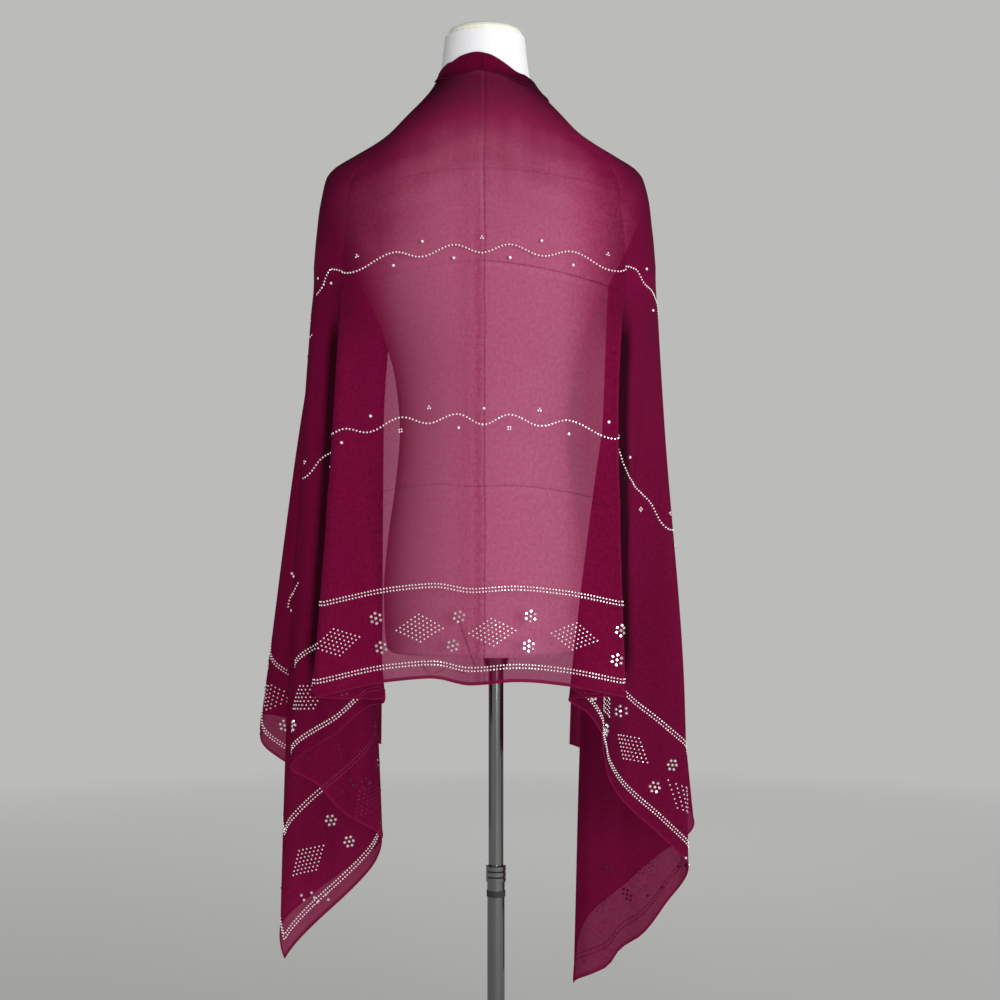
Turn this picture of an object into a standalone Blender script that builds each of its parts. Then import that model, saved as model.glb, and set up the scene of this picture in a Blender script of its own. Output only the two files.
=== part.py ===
"""A chiffon hijab, worn open like a shawl over the shoulders of a limbless dress form on a stand.

The form's back faces -Y and its chest +Y. +Z is up, and the origin is the middle of the base, on the floor.
Sizes are millimetres until a point is made. The cloth is one rectangle. Every height has its own plan section,
which runs from the back panel through the side folds to the front edge. Y only grows along it, so that the
layers never cross. Each stretch between two folds is one thin wall.
"""

import math
from collections import namedtuple

import bmesh
import bpy
from mathutils import Vector

MM = 0.001

# Cloth
CLOTH_WALL = 1.2
SEAM_GAP = 0.5  # between two stretches
NECK_EDGE = 1446.0  # the highest that the cloth's top edge gets, at the back of the neck
NECK_FOOT = 1358.0  # the neck spreads into the shoulders here
SHOULDER_LINE = 1190.0  # the side folds start here
FOLDED_BY = 1080.0  # and are whole folds here
FORM_X = -14.0  # the form's middle, beside the pole
BACK_SHARE = 0.802  # the back panel's share of the section's half width, at the shoulders
EDGE_ROLL = 5.0  # how the back panel rounds into its side folds

# Stand
ROD_RADIUS = 9.5
ROD_FOOT = 150.0
TUBE_RADIUS = 11.0
TUBE_BORE = 9.9
TUBE_TOP = 405.0
COLLAR_TOP = 445.0
SEAT_GAP = 0.3
BASE_RADIUS = 150.0
BASE_HEIGHT = 14.0

# The cloth's plan section from the neck to the shoulder line, and how far inside it the form lies, at its sides
# and at its back and front. A squareness of 2 is an ellipse.
Mantle = namedtuple("Mantle", "height half_width back front squareness side_slack body_slack")
MANTLE = (
    Mantle(1190.0, 213.0, 114.0, 114.0, 2.30, 47.0, 5.0),
    Mantle(1227.5, 210.0, 107.0, 104.0, 2.25, 26.0, 4.0),
    Mantle(1260.0, 206.0, 98.0, 92.0, 2.20, 10.0, 3.0),
    Mantle(1285.0, 202.5, 90.0, 82.0, 2.15, 2.4, 2.2),
    Mantle(1300.0, 198.0, 85.0, 76.0, 2.10, 1.9, 1.8),
    Mantle(1310.0, 190.0, 82.0, 73.0, 2.10, 2.0, 1.8),
    Mantle(1325.0, 166.0, 78.0, 70.0, 2.05, 2.5, 1.9),
    Mantle(1340.0, 142.0, 75.0, 67.0, 2.00, 2.5, 2.0),
    Mantle(1358.0, 118.0, 71.5, 64.0, 2.00, 2.4, 2.0),
    Mantle(1377.0, 98.0, 68.0, 61.0, 2.00, 2.4, 2.0),
    Mantle(1398.0, 78.0, 63.0, 57.5, 2.00, 2.2, 2.0),
    Mantle(1414.0, 65.0, 58.5, 55.0, 2.00, 1.7, 1.6),
    Mantle(1430.0, 57.0, 55.5, 53.0, 2.00, 1.3, 1.3),
    Mantle(1446.0, 54.5, 53.5, 51.5, 2.00, 1.3, 1.3),
)

# The height of the cloth's top edge by degrees round the neck, from the middle of the back. It slips off to the
# right.
NECK_EDGES = (
    (-125.0, 1427.0), (-90.0, 1428.0), (-57.0, 1435.5), (-38.0, 1442.5), (-14.0, 1445.5), (6.0, 1443.0),
    (20.0, 1438.5), (36.0, 1431.0), (51.0, 1423.0), (80.0, 1418.0), (125.0, 1417.0),
)

# The torso below the shoulder line, as seen past the cloth.
Torso = namedtuple("Torso", "height half_width back front squareness")
TORSO = (
    Torso(711.0, 117.0, 93.0, 85.0, 2.0),
    Torso(716.0, 122.0, 98.0, 89.0, 2.0),
    Torso(745.0, 125.0, 102.0, 91.0, 2.0),
    Torso(785.0, 126.0, 103.0, 92.0, 2.0),
    Torso(850.0, 121.0, 97.0, 89.0, 2.0),
    Torso(920.0, 111.5, 87.0, 85.0, 2.0),
    Torso(987.0, 106.0, 80.0, 83.0, 2.0),
    Torso(1045.0, 111.0, 85.0, 93.0, 2.0),
    Torso(1100.0, 125.0, 95.0, 106.0, 2.1),
    Torso(1145.0, 143.0, 103.0, 112.0, 2.2),
)
NECK_TOP = 1476.0
NECK_TOP_RADIUS = 50.0
CAP_TOP = 1488.0

# The folds of each side in the order in which the cloth runs. Angle is the place on the section at the shoulder
# line, from the middle of the back. Below that each fold has a plan position at three heights. Round is a fold's
# bend radius. Soft ones are turns and not folds.
Fold = namedtuple("Fold", "name angle x1000 y1000 x650 y650 x300 y300 round kind")
LEFT_FOLDS = (
    Fold("back_edge", 50.9, -193.0, -108.0, -218.0, -116.0, -240.0, -120.0, 4.0, "fold"),
    Fold("back_inner", 58.0, -169.0, -92.0, -131.0, -94.0, -108.0, -92.0, 4.0, "fold"),
    Fold("side_edge", 70.0, -230.0, -62.0, -246.0, -57.0, -262.0, -54.0, 4.0, "fold"),
    Fold("side_inner", 80.0, -182.0, -30.0, -150.0, -24.0, -134.0, -20.0, 4.0, "fold"),
    Fold("tail_edge", 90.0, -241.0, 2.0, -262.0, 8.0, -273.0, 12.0, 4.0, "fold"),
    Fold("tail_inner", 99.0, -178.0, 32.0, -152.0, 36.0, -138.0, 40.0, 4.0, "fold"),
    Fold("outer_edge", 110.0, -251.0, 58.0, -298.0, 62.0, -345.0, 66.0, 5.0, "fold"),
    Fold("front_edge", 149.0, -149.0, 118.0, -152.0, 126.0, -156.0, 128.0, 0.0, "end"),
)
RIGHT_FOLDS = (
    Fold("back_edge", 50.9, 146.0, -104.0, 155.0, -112.0, 165.0, -114.0, 4.0, "fold"),
    Fold("back_inner", 58.0, 130.0, -90.0, 86.0, -90.0, 52.0, -88.0, 4.0, "fold"),
    Fold("valley_back", 68.0, 160.0, -72.0, 128.0, -74.0, 122.0, -74.0, 0.0, "soft"),
    Fold("valley_side", 77.0, 180.0, -44.0, 148.0, -30.0, 142.0, -28.0, 0.0, "soft"),
    Fold("side_edge", 90.0, 210.0, -2.0, 236.0, 0.0, 243.0, 0.0, 5.0, "fold"),
    Fold("tail_inner", 100.0, 152.0, 44.0, 110.0, 58.0, 100.0, 62.0, 4.0, "fold"),
    Fold("outer_edge", 111.0, 205.0, 70.0, 240.0, 84.0, 276.0, 88.0, 5.0, "fold"),
    Fold("front_edge", 134.0, 141.0, 118.0, 100.0, 128.0, 92.0, 130.0, 0.0, "end"),
)

# Rows of the cloth between the shoulder line and its hem, as shares of the way down.
DOWN_SHARES = (0.04, 0.09, 0.15, 0.22, 0.31, 0.42, 0.54, 0.66, 0.78, 0.89, 1.0)

# Each stretch runs from one fold to another. Its hem is one or more runs of (share of the way, height), with a
# corner of the cloth where one run ends and the next begins. Waves is how many soft waves it has across.
Stretch = namedtuple("Stretch", "name first last hem columns waves wave_depth")
LEFT_STRETCHES = (
    Stretch("left_back_pleat", "back_edge", "back_inner", (((0, 668), (0.5, 664), (0.9, 663), (1, 674)),), 7, 0, 0),
    Stretch("left_side", "back_inner", "side_edge",
            (((0, 674), (0.04, 662), (0.1, 657), (0.26, 654), (0.55, 616), (1, 574)),), 10, 0, 0),
    Stretch("left_inner_pleat", "side_edge", "side_inner",
            (((0, 574), (0.33, 556), (0.57, 516), (1, 481)),), 10, 0, 0),
    Stretch("left_tail", "side_inner", "tail_edge",
            (((0, 481), (0.4, 411), (0.86, 326)), ((0.86, 326), (1, 361))), 11, 0, 0),
    Stretch("left_tail_back", "tail_edge", "tail_inner",
            (((0, 361), (0.29, 393), (0.6, 436), (1, 475)),), 10, 0, 0),
    Stretch("left_outer", "tail_inner", "outer_edge",
            (((0, 475), (0.72, 570), (0.85, 585), (0.93, 599), (1, 626)),), 11, 0, 0),
    Stretch("left_front", "outer_edge", "front_edge", (((0, 626), (0.5, 612), (1, 577)),), 15, 1.5, 10.0),
)
RIGHT_STRETCHES = (
    Stretch("right_back_pleat", "back_edge", "back_inner", (((0, 668), (0.5, 666), (1, 662)),), 7, 0, 0),
    Stretch("right_side", "back_inner", "side_edge",
            (((0, 662), (0.18, 648), (0.33, 620), (0.66, 545), (0.8, 500), (0.92, 460), (1, 443)),), 15, 0, 0),
    Stretch("right_tail", "side_edge", "tail_inner",
            (((0, 443), (0.25, 400), (0.44, 350), (0.57, 329), (0.65, 305), (1, 279)),), 11, 0, 0),
    Stretch("right_tail_back", "tail_inner", "outer_edge",
            (((0, 279), (0.12, 345), (0.4, 399), (0.53, 426), (0.65, 446), (1, 483)),), 11, 0, 0),
    Stretch("right_front", "outer_edge", "front_edge",
            (((0, 483), (0.4, 530), (1, 577)),), 19, 2.5, 14.0),
)
BACK_HEM = (
    (-1.0, 668.0), (-0.52, 686.5), (-0.25, 690.5), (0.0, 682.5), (0.3, 686.5), (0.62, 681.5), (1.0, 668.0),
)
FRONT_EDGE_AT_NECK = 122.0  # degrees from the middle of the back
FRONT_EDGE_AT_SHOULDER = 156.0
FRONT_EDGE_TURN = 1310.0

WHITE_JERSEY = (0.84, 0.84, 0.87)
CREAM_PLASTIC = (0.80, 0.78, 0.66)
WINE_CHIFFON = (0.17, 0.008, 0.035)
CHROME = (0.62, 0.63, 0.64)
BLACK_RUBBER = (0.03, 0.03, 0.03)


# Curves through a few values


def along(knots, at):
    """The value at a place on a smooth curve through (place, value) knots, which never overshoots them. Past
    its ends the curve goes on straight."""
    knots = sorted(knots)
    gaps = [b[0] - a[0] for a, b in zip(knots, knots[1:])]
    rises = [(b[1] - a[1]) / gap for a, b, gap in zip(knots, knots[1:], gaps)]
    slopes = [rises[0]]
    for before, after in zip(rises, rises[1:]):
        slopes.append(0.0 if before * after <= 0 else 2 * before * after / (before + after))
    slopes.append(rises[-1])
    if at <= knots[0][0]:
        return knots[0][1] + slopes[0] * (at - knots[0][0])
    if at >= knots[-1][0]:
        return knots[-1][1] + slopes[-1] * (at - knots[-1][0])
    i = max(k for k, knot in enumerate(knots[:-1]) if knot[0] <= at)
    t = (at - knots[i][0]) / gaps[i]
    return hermite(knots[i][1], slopes[i] * gaps[i], knots[i + 1][1], slopes[i + 1] * gaps[i], t)


def hermite(start, start_pull, end, end_pull, t):
    """A cubic from start to end, which leaves and arrives along the two pulls."""
    return (
        (2 * t**3 - 3 * t**2 + 1) * start
        + (t**3 - 2 * t**2 + t) * start_pull
        + (3 * t**2 - 2 * t**3) * end
        + (t**3 - t**2) * end_pull
    )


def crowded(t):
    """Even steps from 0 to 1 become short near both ends."""
    return blend(t, (1 - math.cos(math.pi * t)) / 2, 0.85)


def eased(t):
    t = min(max(t, 0.0), 1.0)
    return t * t * (3 - 2 * t)


def blend(a, b, t):
    return a + (b - a) * t


# Sections


def rounded(half_width, back, front, squareness, angle):
    """(x, y) on a section at an angle in degrees, from the middle of the back round to the front."""
    s, c = math.sin(math.radians(angle)), math.cos(math.radians(angle))
    x = half_width * math.copysign(abs(s) ** (2 / squareness), s)
    depth = back if c > 0 else front
    return x + FORM_X, -depth * math.copysign(abs(c) ** (2 / squareness), c)


def mantle_sizes(height):
    return [along([(m.height, m[k]) for m in MANTLE], height) for k in (1, 2, 3, 4)]


def mantle_point(height, angle):
    return rounded(*mantle_sizes(height), angle)


def back_edge_angle(height):
    """Where the back panel meets the shoulder, on the section at a height."""
    return math.degrees(math.asin(BACK_SHARE ** (mantle_sizes(height)[3] / 2)))


def neck_edge(angle):
    """The height of the cloth's top edge. Angles on the left are below 0."""
    return along(NECK_EDGES, angle)


def above_shoulders(edge):
    """Heights of the cloth's rows from its top edge down to the shoulder line, closer together on the neck where
    that edge is low."""
    whole = [NECK_EDGE] + [m.height for m in reversed(MANTLE[:-1])]
    closer = (edge - NECK_FOOT) / (NECK_EDGE - NECK_FOOT)
    return [NECK_FOOT + (h - NECK_FOOT) * closer if h > NECK_FOOT else h for h in whole]


# The side folds


def fold_plan(fold, side, height):
    """(x, y) of a fold at a height under the shoulder line."""
    top = mantle_point(SHOULDER_LINE, side * fold.angle)
    x = [(SHOULDER_LINE, top[0]), (1000.0, fold.x1000), (650.0, fold.x650), (300.0, fold.x300)]
    y = [(SHOULDER_LINE, top[1]), (1000.0, fold.y1000), (650.0, fold.y650), (300.0, fold.y300)]
    return Vector((along(x, height), along(y, height)))


def pull(folds, side, i, j, height):
    """How the section leaves fold i towards fold j, and arrives from there."""
    here, there = fold_plan(folds[i], side, height), fold_plan(folds[j], side, height)
    across, deep = abs(there.x - here.x), abs(there.y - here.y)
    if folds[i].kind == "soft":
        return (fold_plan(folds[i + 1], side, height) - fold_plan(folds[i - 1], side, height)) / 2
    turn = abs(folds[j].angle - folds[i].angle) / 2
    ahead = Vector(mantle_point(SHOULDER_LINE, side * (folds[i].angle + turn)))
    plain = ahead - Vector(mantle_point(SHOULDER_LINE, side * (folds[i].angle - turn)))
    if folds[i].kind == "end":
        turned = Vector((-side * across, 0.15 * across))
    else:
        turned = Vector((0, min(math.sqrt(6 * folds[i].round * across), 2.4 * deep)))
    folded = eased((SHOULDER_LINE - height) / (SHOULDER_LINE - FOLDED_BY))
    return plain.lerp(turned, folded)


def stretch_span(stretch, folds):
    names = [f.name for f in folds]
    return names.index(stretch.first), names.index(stretch.last)


def stretch_plan(stretch, folds, side, share, height):
    """(x, y) at a share of the way from a stretch's first fold to its last, at a height."""
    first, last = stretch_span(stretch, folds)
    steps = last - first
    step = min(int(share * steps), steps - 1)
    i, t = first + step, share * steps - step
    a, b = fold_plan(folds[i], side, height), fold_plan(folds[i + 1], side, height)
    leave, arrive = pull(folds, side, i, i + 1, height), pull(folds, side, i + 1, i, height)
    if step == 0:
        t = max(t, SEAM_GAP / 2 / max(leave.length, 1.0))
    if step == steps - 1:
        t = min(t, 1 - (SEAM_GAP / 2 / max(arrive.length, 1.0) if folds[last].kind != "end" else 0))
    place = Vector([hermite(a[k], leave[k], b[k], arrive[k], t) for k in (0, 1)])
    if stretch.waves:
        grown = eased((SHOULDER_LINE - height) / 400)
        place.y += stretch.wave_depth * grown * eased(4 * share) * math.sin(2 * math.pi * stretch.waves * share)
    angle = blend(folds[i].angle, folds[i + 1].angle, t)
    shoulder = Vector(mantle_point(SHOULDER_LINE, side * angle))
    return shoulder.lerp(place, eased((SHOULDER_LINE - height) / 60))


def hem_height(stretch, share):
    for run in stretch.hem:
        if share <= run[-1][0]:
            return along(run, share)
    return stretch.hem[-1][-1][1]


# Making walls


def collection(name):
    made = bpy.data.collections.new(name)
    bpy.context.scene.collection.children.link(made)
    return made


def material(name, colour, roughness, metallic=0.0):
    made = bpy.data.materials.new(name)
    made.use_nodes = True
    shader = made.node_tree.nodes["Principled BSDF"]
    shader.inputs["Base Color"].default_value = (*colour, 1.0)
    shader.inputs["Roughness"].default_value = roughness
    shader.inputs["Metallic"].default_value = metallic
    return made


def link(name, mesh, finish):
    made = bpy.data.objects.new(name, mesh)
    mesh.materials.append(finish)
    for face in mesh.polygons:
        face.use_smooth = True
    MODEL.objects.link(made)
    return made


def grid_mesh(name, rows, closed=False):
    """A skin through rows of (x, y, z) in millimetres, all with as many points. Closed rows are rings."""
    skin = bmesh.new()
    points = [[skin.verts.new(Vector(p) * MM) for p in row] for row in rows]
    count = len(points[0])
    for upper, lower in zip(points, points[1:]):
        for i in range(count if closed else count - 1):
            j = (i + 1) % count
            skin.faces.new((upper[i], lower[i], lower[j], upper[j]))
    if closed:
        skin.faces.new(points[0])
        skin.faces.new(points[-1][::-1])
    bmesh.ops.recalc_face_normals(skin, faces=skin.faces)
    mesh = bpy.data.meshes.new(name)
    skin.to_mesh(mesh)
    skin.free()
    return mesh


def cloth_wall(name, rows, wall=CLOTH_WALL):
    made = link(name, grid_mesh(name, rows), CHIFFON)
    solid = made.modifiers.new("wall", "SOLIDIFY")
    solid.thickness = wall * MM
    solid.offset = 0
    return made


# The cloth


def back_panel():
    """From the neck edge to the hem. Its sides round into the folds behind it."""
    across, edge_steps = 15, 3

    def row(height_of):
        points = []
        columns = [("left", a) for a in range(edge_steps)]
        columns += [("middle", i) for i in range(across)]
        columns += [("right", a) for a in reversed(range(edge_steps))]
        for place, i in columns:
            share = {"left": -1.0, "right": 1.0}.get(place, blend(-1, 1, i / (across - 1)))
            height = height_of(share)
            half, back, _, square = mantle_sizes(max(height, SHOULDER_LINE))
            reach = BACK_SHARE * half
            left, right, middle_y = FORM_X - reach, FORM_X + reach, -back
            edge_y = [-back * (1 - BACK_SHARE**square) ** (1 / square)] * 2
            roll = 0.0
            if height < SHOULDER_LINE:
                folds = [fold_plan(side[0], way, height) for side, way in ((LEFT_FOLDS, -1), (RIGHT_FOLDS, 1))]
                left, right = folds[0].x, folds[1].x
                roll = EDGE_ROLL * eased((SHOULDER_LINE - height) / (SHOULDER_LINE - FOLDED_BY))
                edge_y = [f.y - roll for f in folds]
                middle_y = along(((SHOULDER_LINE, -back), (1000.0, -117.0), (668.0, -125.0)), height)
            left, right = left + SEAM_GAP / 2, right - SEAM_GAP / 2
            if place == "middle":
                inset, lift = EDGE_ROLL, 0.0
                x = blend(left + inset, right - inset, i / (across - 1))
            else:
                turn = math.radians(90 * i / edge_steps)
                inset, lift = EDGE_ROLL * (1 - math.cos(turn)), roll * (1 - math.sin(turn))
                x = left + inset if place == "left" else right - inset
            off = (2 * x - left - right) / (right - left)
            drop = 1 - (1 - (BACK_SHARE * abs(off)) ** square) ** (1 / square)
            full_drop = 1 - (1 - BACK_SHARE**square) ** (1 / square)
            y = blend(middle_y, edge_y[0 if off < 0 else 1], drop / full_drop) + lift
            if i == 0 and place != "middle":
                y -= SEAM_GAP / 2
            points.append((x, y, height))
        return points

    def upper_height(share, k):
        return above_shoulders(neck_edge(share * back_edge_angle(NECK_EDGE)))[k]

    rows = [row(lambda share, k=k: upper_height(share, k)) for k in range(len(MANTLE))]
    rows += [row(lambda share, t=t: blend(SHOULDER_LINE, along(BACK_HEM, share), t)) for t in DOWN_SHARES]
    cloth_wall("back_panel", rows)


def front_edge_angle(height, folds):
    return along(
        (
            (SHOULDER_LINE, folds[-1].angle),
            (FRONT_EDGE_TURN, FRONT_EDGE_AT_SHOULDER),
            (NECK_EDGE, FRONT_EDGE_AT_NECK),
        ),
        height,
    )


def shoulder(name, folds, side):
    """Over one shoulder, from the back panel round to the front edge."""
    across = 14
    columns = []
    for i in range(across + 1):
        edge = neck_edge(side * blend(back_edge_angle(NECK_EDGE), FRONT_EDGE_AT_NECK, i / across))
        heights = above_shoulders(edge)
        heights[-1] += SEAM_GAP / 2
        column = []
        for height in heights:
            start = back_edge_angle(height)
            near, far = mantle_point(height, start), mantle_point(height, start + 1)
            start += SEAM_GAP / 2 / math.dist(near, far)
            angle = blend(start, front_edge_angle(height, folds), i / across)
            column.append((*mantle_point(height, side * angle), height))
        columns.append(column)
    cloth_wall(name, list(zip(*columns)))


def hanging(stretch, folds, side):
    """One stretch between two folds, from the shoulder line to its hem."""
    shares = [crowded(i / stretch.columns) for i in range(stretch.columns + 1)]
    corners = [run[-1][0] for run in stretch.hem[:-1]]
    for corner in corners:
        shares[min(range(len(shares)), key=lambda i: abs(shares[i] - corner))] = corner
    rows = []
    for down in (0.0, *DOWN_SHARES):
        row = []
        for share in shares:
            height = blend(SHOULDER_LINE - SEAM_GAP / 2, hem_height(stretch, share), down)
            row.append((*stretch_plan(stretch, folds, side, share, height), height))
        rows.append(row)
    cloth_wall(stretch.name, rows)


def neck_fold():
    """The top edge, folded out and down round the back of the neck."""
    reach, steps = 112.0, 22
    leaf = ((3.0, -20.0), (2.8, -11.0), (2.5, -2.0), (2.3, 0.6), (1.5, 2.0), (0.0, 2.3))
    rows = []
    for out, rise in leaf:
        row = []
        for i in range(steps + 1):
            angle = blend(-reach, reach, i / steps)
            height = neck_edge(angle) + rise
            half, back, front, square = mantle_sizes(height)
            row.append((*rounded(half + out, back + out, front + out, square, angle), height))
        rows.append(row)
    cloth_wall("neck_fold", rows)


# The dress form and its stand


def torso():
    around = 40
    levels = [t for t in TORSO]
    for m in MANTLE:
        levels.append(
            Torso(m.height, m.half_width - m.side_slack, m.back - m.body_slack, m.front - m.body_slack, m.squareness)
        )
    levels.append(Torso(NECK_TOP, NECK_TOP_RADIUS, NECK_TOP_RADIUS, NECK_TOP_RADIUS, 2.0))
    rows = []
    for level in levels:
        ring = [rounded(*level[1:], 360 * i / around) for i in range(around)]
        rows.append([(*place, level.height) for place in ring])
    link("torso", grid_mesh("torso", rows, closed=True), JERSEY)


def turned(name, profile, x, finish, steps=32):
    """A solid turned about a vertical line from (radius, height) points, from its top down to its foot."""
    outline = bmesh.new()
    is_ring = profile[0] == profile[-1]
    places = profile[:-1] if is_ring else [(0.0, profile[0][1]), *profile, (0.0, profile[-1][1])]
    points = [outline.verts.new((r * MM, 0.0, z * MM)) for r, z in places]
    for a, b in zip(points, points[1:]):
        outline.edges.new((a, b))
    if is_ring:
        outline.edges.new((points[-1], points[0]))
    mesh = bpy.data.meshes.new(name)
    outline.to_mesh(mesh)
    outline.free()
    made = link(name, mesh, finish)
    made.location.x = x * MM
    spin = made.modifiers.new("turn", "SCREW")
    spin.steps = steps
    spin.render_steps = steps
    spin.use_merge_vertices = True
    spin.merge_threshold = 0.00001
    return made


def hollow(outer, bore):
    """A closed ring's outline: down its outside and up its bore."""
    return [*outer, *bore, outer[0]]


def neck_cap():
    lip = 46.0
    foot = NECK_TOP + SEAT_GAP
    profile = [(28.0, CAP_TOP), (40.0, CAP_TOP - 0.8), (44.0, CAP_TOP - 3.0), (lip, CAP_TOP - 6.0), (lip, foot)]
    turned("neck_cap", profile, FORM_X, CAP)


def stand():
    foot = TORSO[0].height - SEAT_GAP
    flange = [(15.0, foot), (26.0, foot), (26.0, foot - 3.0), (17.0, foot - 4.5), (14.0, foot - 18.0)]
    turned("rod_socket", hollow(flange, [(TUBE_BORE, foot - 18.0), (TUBE_BORE, foot)]), 0.0, STEEL)
    turned("upper_rod", [(ROD_RADIUS, foot), (ROD_RADIUS, ROD_FOOT)], 0.0, STEEL, 24)

    grips, pitch, groove, ridge = 3, 7.0, 11.2, 12.6
    seal_top = TUBE_TOP + 8.0
    collar = [(groove, COLLAR_TOP)]
    for i in range(grips):
        top = COLLAR_TOP - 2.0 - i * pitch
        collar += [(ridge, top), (ridge, top - pitch + 2.0), (groove, top - pitch + 1.4)]
    collar.append((groove, seal_top))
    turned("grip_collar", hollow(collar, [(TUBE_BORE, seal_top), (TUBE_BORE, COLLAR_TOP)]), 0.0, STEEL)
    seal = [(11.8, seal_top - SEAT_GAP), (11.8, TUBE_TOP + SEAT_GAP)]
    bore = [(TUBE_BORE, TUBE_TOP + SEAT_GAP), (TUBE_BORE, seal_top - SEAT_GAP)]
    turned("collar_seal", hollow(seal, bore), 0.0, RUBBER)

    tube_foot = BASE_HEIGHT + SEAT_GAP
    tube = hollow([(TUBE_RADIUS, TUBE_TOP), (TUBE_RADIUS, tube_foot)], [(TUBE_BORE, tube_foot), (TUBE_BORE, TUBE_TOP)])
    turned("lower_tube", tube, 0.0, STEEL)
    inner = TUBE_RADIUS + SEAT_GAP
    boss = [(14.0, 44.0), (16.0, 42.0), (17.0, 24.0), (24.0, tube_foot)]
    turned("base_boss", hollow(boss, [(inner, tube_foot), (inner, 44.0)]), 0.0, STEEL)
    disc = [(60.0, BASE_HEIGHT), (BASE_RADIUS - 20.0, 9.0), (BASE_RADIUS - 2.0, 6.0), (BASE_RADIUS, 4.0), (BASE_RADIUS, 0.0)]
    turned("base_disc", disc, 0.0, STEEL, 48)


for old in list(bpy.data.objects):
    bpy.data.objects.remove(old)
MODEL = collection("chiffon_hijab_on_form")
CHIFFON = material("chiffon", WINE_CHIFFON, 0.75)
JERSEY = material("white_jersey", WHITE_JERSEY, 0.8)
CAP = material("cream_plastic", CREAM_PLASTIC, 0.45)
STEEL = material("chromed_steel", CHROME, 0.18, 1.0)
RUBBER = material("rubber", BLACK_RUBBER, 0.7)

back_panel()
shoulder("left_shoulder", LEFT_FOLDS, -1)
shoulder("right_shoulder", RIGHT_FOLDS, 1)
for piece in LEFT_STRETCHES:
    hanging(piece, LEFT_FOLDS, -1)
for piece in RIGHT_STRETCHES:
    hanging(piece, RIGHT_FOLDS, 1)
neck_fold()
torso()
neck_cap()
stand()
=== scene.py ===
import math
import random
from collections import namedtuple
from functools import partial

import bpy
import numpy as np
from mathutils import Matrix, Vector
from mathutils.bvhtree import BVHTree


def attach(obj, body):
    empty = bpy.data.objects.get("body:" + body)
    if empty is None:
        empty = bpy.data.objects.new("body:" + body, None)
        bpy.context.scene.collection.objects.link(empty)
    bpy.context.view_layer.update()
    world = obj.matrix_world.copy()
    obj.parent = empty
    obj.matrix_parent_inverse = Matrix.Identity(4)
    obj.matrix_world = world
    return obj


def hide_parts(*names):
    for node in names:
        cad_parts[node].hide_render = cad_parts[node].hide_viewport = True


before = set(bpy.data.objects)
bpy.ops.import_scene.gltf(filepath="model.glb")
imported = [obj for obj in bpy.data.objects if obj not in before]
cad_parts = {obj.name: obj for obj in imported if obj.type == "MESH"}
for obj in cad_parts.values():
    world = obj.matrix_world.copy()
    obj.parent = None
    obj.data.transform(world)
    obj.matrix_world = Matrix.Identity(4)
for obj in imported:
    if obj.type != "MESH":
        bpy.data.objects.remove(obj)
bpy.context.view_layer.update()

MM = 0.001
random.seed(11)

# ------------------------------------------------
# The scarf. One rectangle of chiffon lies over both shoulders. Its back panel hangs straight, and each side
# falls in a fan of folds from the shoulder's end. Heights and places are in millimetres, as in the solids.

SHOULDER_LINE = 1190.0  # the side folds start here
FOLDED_BY = 1080.0  # and are whole folds here
FORM_X = -14.0  # the form's middle
BACK_SHARE = 0.802  # of the back's half width, covered by the back panel
EDGE_ROLL = 5.0  # how round the back panel's edges turn
NECK_EDGE = 1446.0
FRONT_EDGE_AT_NECK = 122.0  # degrees round the form from the middle of the back
FRONT_EDGE_AT_SHOULDER = 156.0
FRONT_EDGE_TURN = 1310.0
HEM_RADIUS = 0.75

# The height of the top edge by degrees round the neck. It slips off to the right.
NECK_EDGES = (
    (-125, 1427), (-90, 1428), (-57, 1435.5), (-38, 1442.5), (-14, 1445.5), (6, 1443),
    (20, 1438.5), (36, 1431), (51, 1423), (80, 1418), (125, 1417),
)

# The cut, in metres. u runs along the scarf from its crease and v up from its lower long edge.
CUT_LEFT, CUT_RIGHT, CUT_DEPTH = 0.935, 0.957, 0.80
SHOULDER_POINT = np.array((0.20, 0.64))
FAN_START = 0.115  # from the shoulder point to the shoulder line, along the cloth
FRONT_EDGE_ON_CUT = np.array((0.29, CUT_DEPTH))
NECK_ON_CUT, NECK_SPREAD = 0.045, 0.06  # where the side stretches start on the top edge, and how far they spread
LEFT_PANEL_EDGE, RIGHT_PANEL_EDGE = 0.20, 0.17

Mantle = namedtuple("Mantle", "height half_width back front squareness side_slack body_slack")
MANTLE = [Mantle(*row) for row in (
    (1190, 213, 114, 114, 2.30, 47, 5),
    (1227.5, 210, 107, 104, 2.25, 26, 4),
    (1260, 206, 98, 92, 2.20, 10, 3),
    (1285, 202.5, 90, 82, 2.15, 2.4, 2.2),
    (1300, 198, 85, 76, 2.10, 1.9, 1.8),
    (1310, 190, 82, 73, 2.10, 2, 1.8),
    (1325, 166, 78, 70, 2.05, 2.5, 1.9),
    (1340, 142, 75, 67, 2.00, 2.5, 2),
    (1358, 118, 71.5, 64, 2.00, 2.4, 2),
    (1377, 98, 68, 61, 2.00, 2.4, 2),
    (1398, 78, 63, 57.5, 2.00, 2.2, 2),
    (1414, 65, 58.5, 55, 2.00, 1.7, 1.6),
    (1430, 57, 55.5, 53, 2.00, 1.3, 1.3),
    (1446, 54.5, 53.5, 51.5, 2.00, 1.3, 1.3),
)]
Torso = namedtuple("Torso", "height half_width back front squareness")
TORSO = [Torso(*row) for row in (
    (711, 117, 93, 85, 2),
    (716, 122, 98, 89, 2),
    (745, 125, 102, 91, 2),
    (785, 126, 103, 92, 2),
    (850, 121, 97, 89, 2),
    (920, 111.5, 87, 85, 2),
    (987, 106, 80, 83, 2),
    (1045, 111, 85, 93, 2),
    (1100, 125, 95, 106, 2.1),
    (1145, 143, 103, 112, 2.2),
)]
NECK_TOP = 1476.0
NECK_TOP_RADIUS = 50.0

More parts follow.
